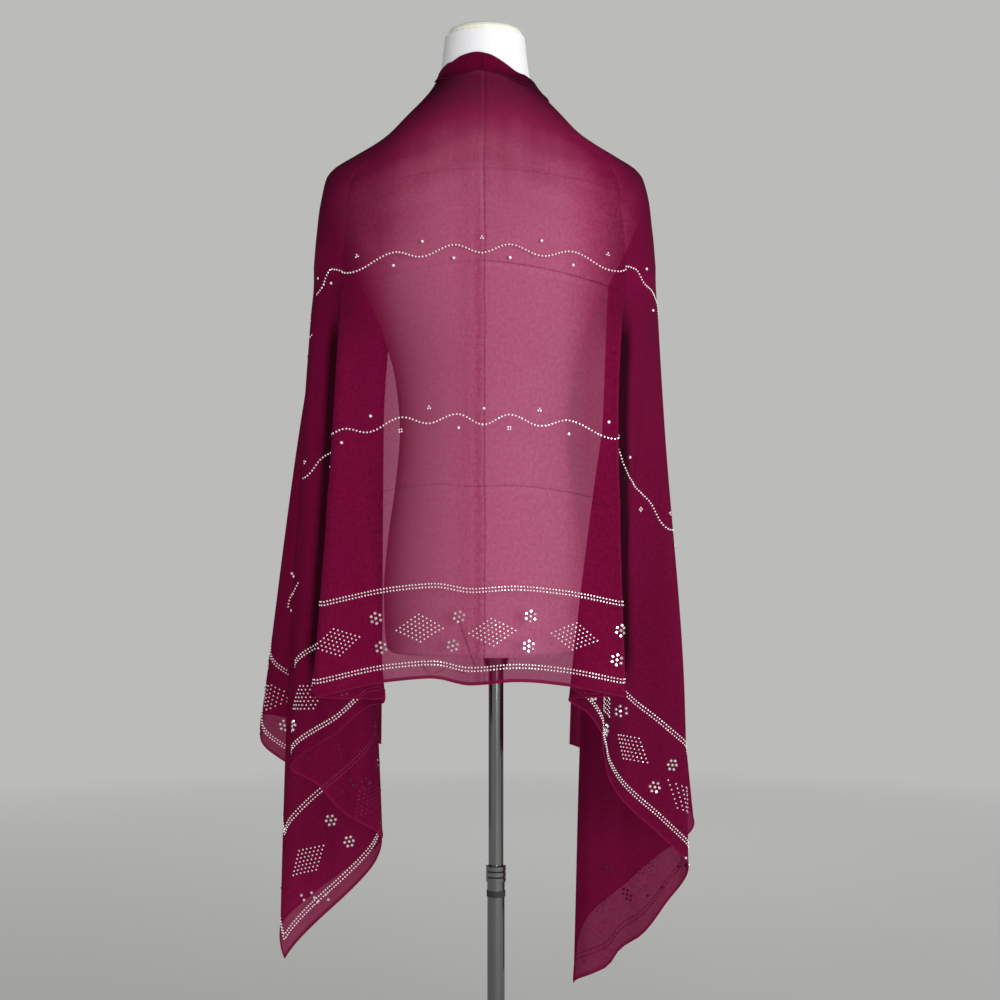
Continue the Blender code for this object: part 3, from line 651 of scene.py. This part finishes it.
    # The hem: distance from the cut's nearest edge.
    nearest = v
    for from_edge in (add("Math", [u, CUT_LEFT]), add("Math", [CUT_RIGHT, u], operation="SUBTRACT")):
        nearest = add("Math", [nearest, from_edge], operation="MINIMUM")
    hemmed = add("MapRange", [nearest, 0.0030, 0.0040, 1.0, 0.0])
    cover = add("Math", [cover, add("Math", [hemmed, 0.9], operation="MULTIPLY")], operation="MAXIMUM")
    cover = add("Math", [cover, 0.93], operation="MINIMUM")
    # The gaps' tint deepens at glancing angles, at the neck and in the packed folds, partly as painted shade.
    side_on_and_neck_shade = add("Math", [glance, neck_gathers_and_shade])
    deep = add("Math", [side_on_and_neck_shade, packing_shade])
    tint = add("Mix", {0: deep, 6: linear("#c37d99"), 7: linear("#903555")}, data_type="RGBA")
    # The yarns darken towards #2c0414 in the hem's layers, and as painted shade in the packed folds, at glancing
    # angles, at the neck, beside the form and along the creases.
    dark = add("Math", [hemmed, 0.35], operation="MULTIPLY")
    dark = add("Math", [add("Math", [packing_shade, 1.4], operation="POWER"), dark], operation="MAXIMUM")
    for amount, share in ((side_on_and_neck_shade, 0.28), (drawn_and_shaded, 0.5), (add("Math", [crease_lines_and_shade, shade]), 0.6)):
        dark = add("Math", [amount, share, dark], operation="MULTIPLY_ADD")
    yarn_colour_and_shade = add("Mix", {0: dark, 6: linear("#98134e"), 7: linear("#2c0414")}, data_type="RGBA")
    yarn = add("BsdfPrincipled", {
        "Base Color": yarn_colour_and_shade, "Roughness": 0.8, "Specular IOR Level": 0.04,
        "Sheen Weight": 0.06, "Sheen Roughness": 0.5, "Sheen Tint": linear("#a03068"),
    })
    thread = add("MixShader", [0.28, yarn, add("BsdfTranslucent", {"Color": yarn_colour_and_shade})])
    whole = add("MixShader", [cover, add("BsdfTransparent", {"Color": tint}), thread])
    # Light scatters between so thin a cloth and what it lies on, and comes through paler than it looks.
    passed = add("BsdfTransparent", {"Color": linear("#fff8fa")})
    lit = add("MixShader", [add("LightPath").outputs["Is Shadow Ray"], whole, passed])
    add("OutputMaterial", {"Surface": lit})
    return made


def hem_material():
    """The same chiffon rolled to several layers, which let little light through, with stitches 3 mm apart."""
    made, add = new_material("rolled_chiffon_hem")
    place = add("TexCoord").outputs["Object"]
    stitch = add("TexNoise", {"Vector": place, "Scale": 330.0, "Detail": 1.0})
    tone = add("Mix", {0: stitch, 6: linear("#6a0a33"), 7: linear("#8a1446")}, data_type="RGBA")
    # Round the neck the hem lies in the fold's shade, and looks as dark as the cloth beside it.
    height = add("SeparateXYZ", [place]).outputs["Z"]
    high = add("MapRange", {"Value": height, "From Min": 1.30, "From Max": 1.38})
    shaded = add("Mix", {0: high, 6: tone, 7: linear("#4c0727")}, data_type="RGBA")
    face = add("BsdfPrincipled", {"Base Color": shaded, "Roughness": 0.8, "Specular IOR Level": 0.06})
    add("OutputMaterial", {"Surface": face})
    return made


def rhinestone_material(name, silvered, roughness):
    """Hot-fix rhinestones: pressed glass with a silvered back. The large ones mirror more of the room."""
    made, add = new_material(name)
    face = add("BsdfPrincipled", {
        "Base Color": linear("#fff9fc"), "Metallic": silvered, "Roughness": roughness,
        "Coat Weight": 0.9, "Coat Roughness": 0.04,
    })
    add("OutputMaterial", {"Surface": face})
    return made


def grained_material(name, grain, detail, tones, face, bump=None, rough=None):
    """A finish that follows one grain, with so many spots to the metre along x, y and z. It runs between two
    tones, and may raise the face by a strength and a depth in metres, or spread its roughness."""
    made, add = new_material(name)
    at = add("Mapping", {"Vector": add("TexCoord").outputs["Object"], "Scale": grain})
    spots = add("TexNoise", {"Vector": at, "Scale": 1.0, "Detail": detail})
    face = {"Base Color": linear(tones[0]), **face}
    if len(tones) == 2:
        face["Base Color"] = add("Mix", {0: spots, 6: linear(tones[0]), 7: linear(tones[1])}, data_type="RGBA")
    if bump:
        face["Normal"] = add("Bump", {"Strength": bump[0], "Distance": bump[1], "Height": spots})
    if rough:
        face["Roughness"] = add("MapRange", {"Value": spots, "To Min": rough[0], "To Max": rough[1]})
    add("OutputMaterial", {"Surface": add("BsdfPrincipled", face)})
    return made


CHIFFON = chiffon_material()
CHIFFON_HEM = hem_material()
STONE = rhinestone_material("small_glass_rhinestone", 0.15, 0.2)
LARGE_STONE = rhinestone_material("large_silvered_rhinestone", 0.75, 0.07)
# The stones' flat backs: grey foil under a film of dark hot-fix glue, seen through the cloth. The film is uneven
# over about half a millimetre.
GLUE = grained_material("dark_hot_fix_glue", (2000.0,) * 3, 1.0, ("#17090e", "#35202a"), {"Roughness": 0.5})
# White stretch jersey pulled over the form: matt, with fine wales 1 mm apart that run up and down.
JERSEY = grained_material(
    "white_stretch_jersey", (900.0, 900.0, 60.0), 2.0, ("#ececf0", "#f6f6f8"),
    {"Roughness": 0.85, "Sheen Weight": 0.2}, bump=(0.12, 0.0004),
)
# Cream moulded ABS: a satin face with a grain of about a millimetre.
ABS = grained_material("cream_moulded_abs", (900.0,) * 3, 2.0, ("#f1f0e2",), {"Roughness": 0.42}, bump=(0.06, 0.0002))
# Chromed steel, drawn or turned and then polished: a bright mirror with faint lines along the work, about 1.5 mm
# apart.
DRAWN_CHROME = grained_material(
    "drawn_chromed_tube", (600.0, 600.0, 4.0), 3.0, ("#7c7f7f",), {"Metallic": 1.0}, rough=(0.078, 0.195)
)
TURNED_CHROME = grained_material(
    "turned_chromed_steel", (40.0, 40.0, 900.0), 3.0, ("#7c7f7f",), {"Metallic": 1.0}, rough=(0.096, 0.24)
)
# Black moulded rubber, dull, with a dusty bloom in clouds 2.5 mm across.
RUBBER = grained_material("black_moulded_rubber", (400.0,) * 3, 3.0, ("#17181a", "#2c2d2f"), {"Roughness": 0.7})

# ------------------------------------------------
# The scarf's pieces

CLOTH_NODES = [s.name for s in (*LEFT_STRETCHES, *RIGHT_STRETCHES)]
CLOTH_NODES += ["back_panel", "left_shoulder", "right_shoulder", "neck_fold"]

COLUMNS, POINTS, FLAT = sheet_points()
POINTS = wrinkled(COLUMNS, POINTS, FLAT)
FULL_POINTS, FULL_FLAT = turned_down(POINTS, FLAT)
chiffon = new_object("chiffon", grid_mesh("chiffon", FULL_POINTS, FULL_FLAT), CHIFFON)
# The attribute carries the packing and its painted shade to the chiffon's colour and cover.
packing_shade = chiffon.data.attributes.new("gathered_close", "FLOAT", "POINT")
packing_shade.data.foreach_set("value", gathered_close(COLUMNS, FULL_POINTS).astype(np.float32).reshape(-1))
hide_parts(*CLOTH_NODES)


def rolled_hem():
    """The sewn edge: a thin roll along all four edges."""
    first, last = FULL_POINTS[:, 0], FULL_POINTS[:, -1]
    loop = np.concatenate((FULL_POINTS[-1], last[-2:0:-1], FULL_POINTS[0][::-1], first[1:-1]))
    loop = loop[np.concatenate(([True], np.linalg.norm(np.diff(loop, axis=0), axis=1) > 0.35))]
    ahead = np.roll(loop, -1, axis=0) - np.roll(loop, 1, axis=0)
    ahead /= np.linalg.norm(ahead, axis=1, keepdims=True)
    side = np.cross(ahead, (0.0, 0.0, 1.0))
    upright = np.linalg.norm(side, axis=1) < 0.2
    side[upright] = np.cross(ahead[upright], (0.0, 1.0, 0.0))
    side /= np.linalg.norm(side, axis=1, keepdims=True)
    up = np.cross(side, ahead)
    turns = np.radians(60.0 * np.arange(6))
    grid = np.stack([loop + HEM_RADIUS * (math.cos(t) * side + math.sin(t) * up) for t in turns], axis=1)
    mesh = grid_mesh("rolled_hem", np.concatenate((grid, grid[:1])), closed=True)
    return new_object("rolled_hem", mesh, CHIFFON_HEM)


hem = rolled_hem()


# Rhinestones, placed on the flat cut and then carried to the hanging cloth.


def flat_cut_tree():
    """A search tree over the flat cut, and the corners of its triangles."""
    rows, count = FLAT.shape[:2]
    ids = np.arange(rows * count).reshape(rows, count)
    a, b, c, d = ids[:-1, :-1], ids[1:, :-1], ids[1:, 1:], ids[:-1, 1:]
    faces = np.concatenate([np.stack(corners, -1).reshape(-1, 3) for corners in ((a, b, c), (a, c, d))])
    places = [Vector((u, v, 0.0)) for u, v in FLAT.reshape(-1, 2)]
    return BVHTree.FromPolygons(places, faces.tolist()), faces


FLAT_TREE, FACES = flat_cut_tree()
POINT_LIST = POINTS.reshape(-1, 3)
FLAT_LIST = FLAT.reshape(-1, 2)
NORMAL_LIST = normals_of(POINTS).reshape(-1, 3)


def on_cloth(u, v):
    """The place and normal of a point of the flat cut on the hanging cloth, or nothing off its edge."""
    hit = FLAT_TREE.ray_cast(Vector((u, v, 0.1)), Vector((0, 0, -1)))
    if hit[2] is None:
        return None
    corners = FACES[hit[2]]
    (ax, ay), (bx, by), (cx, cy) = FLAT_LIST[corners]
    area = (bx - ax) * (cy - ay) - (cx - ax) * (by - ay)
    if abs(area) < 1e-12:
        return None
    second = ((u - ax) * (cy - ay) - (cx - ax) * (v - ay)) / area
    third = ((bx - ax) * (v - ay) - (u - ax) * (by - ay)) / area
    weights = np.array((1 - second - third, second, third))
    return weights @ POINT_LIST[corners], weights @ NORMAL_LIST[corners]


STONES = {"border_stones": [], "motif_stones": [], "wave_stones": []}  # (place, normal, radius)
SMALL, IN_ROW, LARGE = 1.08, 1.15, 2.1  # the stones' radii
ROW_PITCH = 3.8
PATH_STEP = 0.0005

# Places along the long edge of flower pairs and diamonds, in turn.
BORDER_PLACES = (
    -0.878, -0.822, -0.769, -0.711, -0.653, -0.596, -0.538, -0.480, -0.429, -0.378, -0.327, -0.277, -0.226, -0.175,
    -0.125, -0.076, -0.033, 0.010, 0.054, 0.108, 0.163, 0.211, 0.260, 0.308, 0.356, 0.404, 0.453, 0.501, 0.549,
    0.608, 0.659, 0.716, 0.755, 0.792, 0.819, 0.846, 0.893,
)
SIDE_PITCH = 0.093
RIGHT_PLAIN = 0.29  # the right short edge has no stones below this

# Wavy rows: height on the cut, left end, where their crests are, and the accents over troughs and under crests.
Wave = namedtuple("Wave", "level left crests above below")
WAVE_LENGTH, WAVE_RISE = 0.072, 0.0055
WAVES = (
    Wave(0.5115, -0.749, (-0.305, -0.232, -0.115, -0.036, 0.031, 0.106, 0.190, 0.299),
         ("triangle", "single"), ("single",)),
    Wave(0.3095, -0.823, (-0.262, -0.184, -0.102, -0.030, 0.030, 0.103, 0.209, 0.287, 0.437),
         ("triangle", "single"), ("square", "single")),
)


def lay(piece, u, v, radius):
    """One stone of a piece, where the cut has cloth."""
    found = on_cloth(u, v)
    if found is not None:
        STONES[piece].append((*found, radius))


def lay_row(piece, path, pitch, radius):
    """Stones at even steps along a path on the cut, measured on the hanging cloth."""
    carried = 0.0
    last = None
    for u, v in path:
        found = on_cloth(u, v)
        if found is None:
            last = None
            continue
        if last is not None:
            step = float(np.linalg.norm(found[0] - last))
            carried += step if step < 12 else 0
            if carried >= pitch:
                carried -= pitch
                STONES[piece].append((*found, radius))
        last = found[0]


def straight(start, end):
    """A straight path on the cut, in steps of half a millimetre."""
    count = max(int(math.dist(start, end) / PATH_STEP), 1)
    return [(blend(start[0], end[0], i / count), blend(start[1], end[1], i / count)) for i in range(count + 1)]


def lay_motif(centre, spots, last=None, clear=0.0):
    """Stones at spots given in millimetres from a centre on the cut, at their true distances on the cloth, and
    none where the last motif is nearer than a clear distance. Gives the place of the motif then laid last."""
    u, v = centre
    step = 0.004
    ends = [on_cloth(u - step, v), on_cloth(u + step, v), on_cloth(u, v - step), on_cloth(u, v + step)]
    if any(end is None for end in ends):
        return last
    middle = (ends[0][0] + ends[1][0]) / 2
    if last is not None and np.linalg.norm(middle - last) < clear:
        return last
    along_u = (ends[1][0] - ends[0][0]) * MM / (2 * step)
    along_v = (ends[3][0] - ends[2][0]) * MM / (2 * step)
    wide = np.linalg.norm(along_u)
    lean = along_u @ along_v / max(wide, 1e-9)
    tall = np.linalg.norm(along_v - lean * along_u / max(wide, 1e-9))
    if min(wide, tall) >= 0.3:
        for across, up, radius in spots:
            dv = up * MM / tall
            lay("motif_stones", u + (across * MM - lean * dv) / wide, v + dv, radius)
    return middle


def diamond(turned=False):
    """Seven rows of seven small stones in a rhombus."""
    spots = []
    for i in range(7):
        for j in range(7):
            long_way, short_way = (i - j) * 27.5 / 6, (i + j - 6) * 16 / 6
            spots.append((short_way, long_way, SMALL) if turned else (long_way, short_way, SMALL))
    return spots


def flower():
    """Six large stones round one."""
    ring = [(6.0 * math.sin(math.radians(60 * k)), 6.0 * math.cos(math.radians(60 * k)), LARGE) for k in range(6)]
    return [(0.0, 0.0, LARGE), *ring]


def shifted(spots, across, up):
    """The same spots further across and up."""
    return [(x + across, y + up, radius) for x, y, radius in spots]


def lay_border():
    """Two double rows along the edges, with flower pairs and diamonds between them."""
    for inset in (0.016, 0.020, 0.108, 0.112):
        left, right = -CUT_LEFT + inset, CUT_RIGHT - inset
        lay_row("border_stones", straight((left, CUT_DEPTH), (left, inset)), ROW_PITCH, IN_ROW)
        lay_row("border_stones", straight((left, inset), (right, inset)), ROW_PITCH, IN_ROW)
        lay_row("border_stones", straight((right, RIGHT_PLAIN), (right, CUT_DEPTH)), ROW_PITCH, IN_ROW)
    pair = shifted(flower(), 0, 17.5) + shifted(flower(), 0, -17.5)
    side_pair = shifted(flower(), 17.5, 0) + shifted(flower(), -17.5, 0)
    for k, place in enumerate(BORDER_PLACES):
        lay_motif((place, 0.060), diamond() if k % 2 else pair)
    for edge, plain, clear in ((-CUT_LEFT + 0.062, 0.0, 22.0), (CUT_RIGHT - 0.062, RIGHT_PLAIN, 33.0)):
        last = None
        for k in range(7):
            if 0.12 + SIDE_PITCH * k > plain:
                last = lay_motif((edge, 0.14 + SIDE_PITCH * k), diamond(turned=True), last, clear)
                last = lay_motif((edge, 0.14 + SIDE_PITCH * (k + 0.5)), side_pair, last, clear)


def lay_waves():
    """Wavy rows along the scarf, with small accents above their troughs and below their crests."""
    accents = {
        "single": [(0.0, 0.0, 1.9)],
        "triangle": [(-1.5, -1.0, 1.15), (1.5, -1.0, 1.15), (0.0, 1.6, 1.15)],
        "square": [(across, up, 1.15) for up in (-1.4, 1.4) for across in (-1.4, 1.4)],
    }
    for wave in WAVES:
        left, right = wave.left, CUT_RIGHT - 0.112
        crests = list(wave.crests)
        while crests[0] > left:
            crests.insert(0, crests[0] - WAVE_LENGTH)
        while crests[-1] < right:
            crests.append(crests[-1] + WAVE_LENGTH)
        across = np.linspace(left, right, int((right - left) / PATH_STEP))
        turns = np.interp(across, crests, range(len(crests)))
        path = list(zip(across, wave.level + WAVE_RISE * np.cos(2 * math.pi * turns)))
        lay_row("wave_stones", path, pitch=4.2, radius=1.25)
        for k, (crest, after) in enumerate(zip(crests, crests[1:])):
            trough = (crest + after) / 2
            if crest > left:
                lay_motif((crest, wave.level - 0.0105), accents[wave.below[k % len(wave.below)]])
            if left < trough < right:
                lay_motif((trough, wave.level + 0.0135), accents[wave.above[k % len(wave.above)]])


def cut_stone(sides, radius):
    """One stone: a low cone with its top cut off flat, and whether each face is its glued back."""
    select_only()
    low, high = radius * MM, radius * 0.62 * MM
    bpy.ops.mesh.primitive_cone_add(vertices=sides, radius1=low, radius2=high, depth=high, location=(0, 0, high / 2))
    made = bpy.context.object
    bpy.ops.object.transform_apply(location=True, rotation=True, scale=True)
    verts = np.array([v.co[:] for v in made.data.vertices])
    faces = [(tuple(p.vertices), p.normal.z < -0.9) for p in made.data.polygons]
    bpy.data.objects.remove(made)
    return verts, faces


def joined_stones(name, stones):
    """All the stones of one kind as one mesh, each turned its own way and tipped a little."""
    models = {}
    verts, faces, finishes = [], [], []
    for place, normal, radius in stones:
        if radius not in models:
            models[radius] = cut_stone(8 if radius > 1.5 else 6, radius)
        shape, sides = models[radius]
        tip = Vector((random.gauss(0, 0.05), random.gauss(0, 0.05), random.gauss(0, 0.05)))
        turn = (Vector(normal).normalized() + tip).to_track_quat("Z", "Y").to_matrix()
        turn = np.array(turn @ Matrix.Rotation(random.uniform(0, 6.28), 3, "Z"))
        base = len(verts)
        verts.extend((shape @ turn.T + (place + 0.12 * normal) * MM).tolist())
        faces.extend([tuple(i + base for i in face) for face, _ in sides])
        finishes.extend([1 if back else 2 * (radius == LARGE) for _, back in sides])
    mesh = bpy.data.meshes.new(name)
    mesh.from_pydata(verts, [], faces)
    mesh.update()
    made = new_object(name, mesh, STONE, smooth=False)
    mesh.materials.append(GLUE)
    mesh.materials.append(LARGE_STONE)
    mesh.polygons.foreach_set("material_index", finishes)
    return made


lay_border()
lay_waves()
stone_pieces = [joined_stones(name, stones) for name, stones in STONES.items()]
for piece in (chiffon, hem, *stone_pieces):
    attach(piece, "form")


# ------------------------------------------------
# The dress form and its stand


def jersey_torso():
    """The form's jersey-covered body, finer than its solid."""
    levels = [tuple(t) for t in TORSO]
    for m in MANTLE:
        levels.append(
            (m.height, m.half_width - m.side_slack, m.back - m.body_slack, m.front - m.body_slack, m.squareness)
        )
    levels.append((NECK_TOP, NECK_TOP_RADIUS, NECK_TOP_RADIUS, NECK_TOP_RADIUS, 2.0))
    angles = np.linspace(0, 360, 145)[:-1]
    rings = []
    for height in np.concatenate((np.linspace(711, 745, 16), np.linspace(745, NECK_TOP, 190)[1:])):
        sizes = [float(along([(level[0], level[k]) for level in levels], height)) for k in (1, 2, 3, 4)]
        x, y = rounded(*sizes, angles)
        rings.append(np.stack((x, y, np.full(len(angles), height)), axis=1))
    low, high = rings[0], rings[-1]
    foot = [blend(low.mean(axis=0), low, t) for t in (0.02, 0.5, 0.9, 0.97)]
    crown = [blend(high.mean(axis=0), high, t) for t in (0.97, 0.5, 0.02)]
    mesh = grid_mesh("jersey_torso", np.array([*foot, *rings, *crown])[::-1], closed=True)
    made = new_object("jersey_torso", mesh, JERSEY)
    select_only(made)
    bpy.ops.object.mode_set(mode="EDIT")
    bpy.ops.mesh.select_all(action="SELECT")
    bpy.ops.mesh.fill_holes(sides=0)
    bpy.ops.mesh.normals_make_consistent(inside=False)
    bpy.ops.object.mode_set(mode="OBJECT")
    bpy.ops.object.shade_smooth_by_angle(angle=math.radians(40))
    return made


torso = jersey_torso()
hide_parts("torso")
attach(torso, "form")

FINISHES = {
    "neck_cap": ABS,
    "rod_socket": TURNED_CHROME,
    "upper_rod": DRAWN_CHROME,
    "grip_collar": TURNED_CHROME,
    "collar_seal": RUBBER,
    "lower_tube": DRAWN_CHROME,
    "base_boss": TURNED_CHROME,
    "base_disc": TURNED_CHROME,
}
for node, finish in FINISHES.items():
    shape = bpy.data.objects[node]
    shape.data.materials.clear()
    shape.data.materials.append(finish)


# ------------------------------------------------
# Floor, light and camera

ROOM_TONE = linear("#bbbbb9")


def stage():
    """A pale floor that meets the room's tone far away, so that no horizon shows."""
    select_only()
    bpy.ops.mesh.primitive_circle_add(vertices=128, radius=14.0, fill_type="NGON", location=(0, 0, 0))
    floor = bpy.context.object
    floor.name = "floor"
    material, add = new_material("pale_floor")
    place = add("TexCoord").outputs["Object"]
    grain = add("TexNoise", {"Vector": place, "Scale": 3.0, "Detail": 4.0})
    tone = add("Mix", {0: grain, 6: linear("#cacac8"), 7: linear("#d2d2d0")}, data_type="RGBA")
    face = add("BsdfPrincipled", {"Base Color": tone, "Roughness": 0.9})
    away = add("VectorMath", [place], operation="LENGTH")
    far = add("MapRange", {"Value": away, "From Min": 0.6, "From Max": 3.6})
    room = add("Emission", {"Color": ROOM_TONE})
    add("OutputMaterial", {"Surface": add("MixShader", [far, face, room])})
    floor.data.materials.append(material)


def lamp(name, place, size, power):
    """A soft round lamp that faces the scarf."""
    data = bpy.data.lights.new(name, "AREA")
    data.shape = "DISK"
    data.size = size
    data.energy = power
    made = bpy.data.objects.new(name, data)
    made.location = place
    made.rotation_euler = (Vector((0.0, 0.0, 1.05)) - Vector(place)).to_track_quat("-Z", "Y").to_euler()
    made.visible_camera = False
    bpy.context.scene.collection.objects.link(made)


def lights():
    lamp("window", (1.3, -3.1, 1.2), 1.8, 78.0)
    lamp("fill_left", (-2.7, -1.6, 1.6), 2.2, 8.0)
    lamp("fill_right", (2.8, -1.0, 1.3), 2.0, 24.0)
    lamp("behind", (0.3, 2.7, 1.8), 2.4, 20.0)
    world = bpy.data.worlds.new("soft_room")
    world.use_nodes = True
    background = world.node_tree.nodes["Background"]
    background.inputs["Color"].default_value = ROOM_TONE
    seen = add_node(world.node_tree, "LightPath").outputs["Is Camera Ray"]
    strength = add_node(world.node_tree, "MapRange", {"Value": seen, "To Min": 0.5, "To Max": 1.0})
    world.node_tree.links.new(strength.outputs[0], background.inputs["Strength"])
    bpy.context.scene.world = world


def camera():
    """The photo's view: square on to the back, 2.1 m away and 0.9 m up."""
    data = bpy.data.cameras.new("camera")
    data.sensor_width = 36.0
    data.lens = 61.2
    data.clip_start, data.clip_end = 0.05, 60.0
    made = bpy.data.objects.new("camera", data)
    made.location = (0.005, -2.125, 0.90)
    made.rotation_euler = (math.radians(90), 0, 0)
    bpy.context.scene.collection.objects.link(made)
    bpy.context.scene.camera = made


stage()
lights()
camera()
bpy.context.scene.view_settings.view_transform = "Standard"
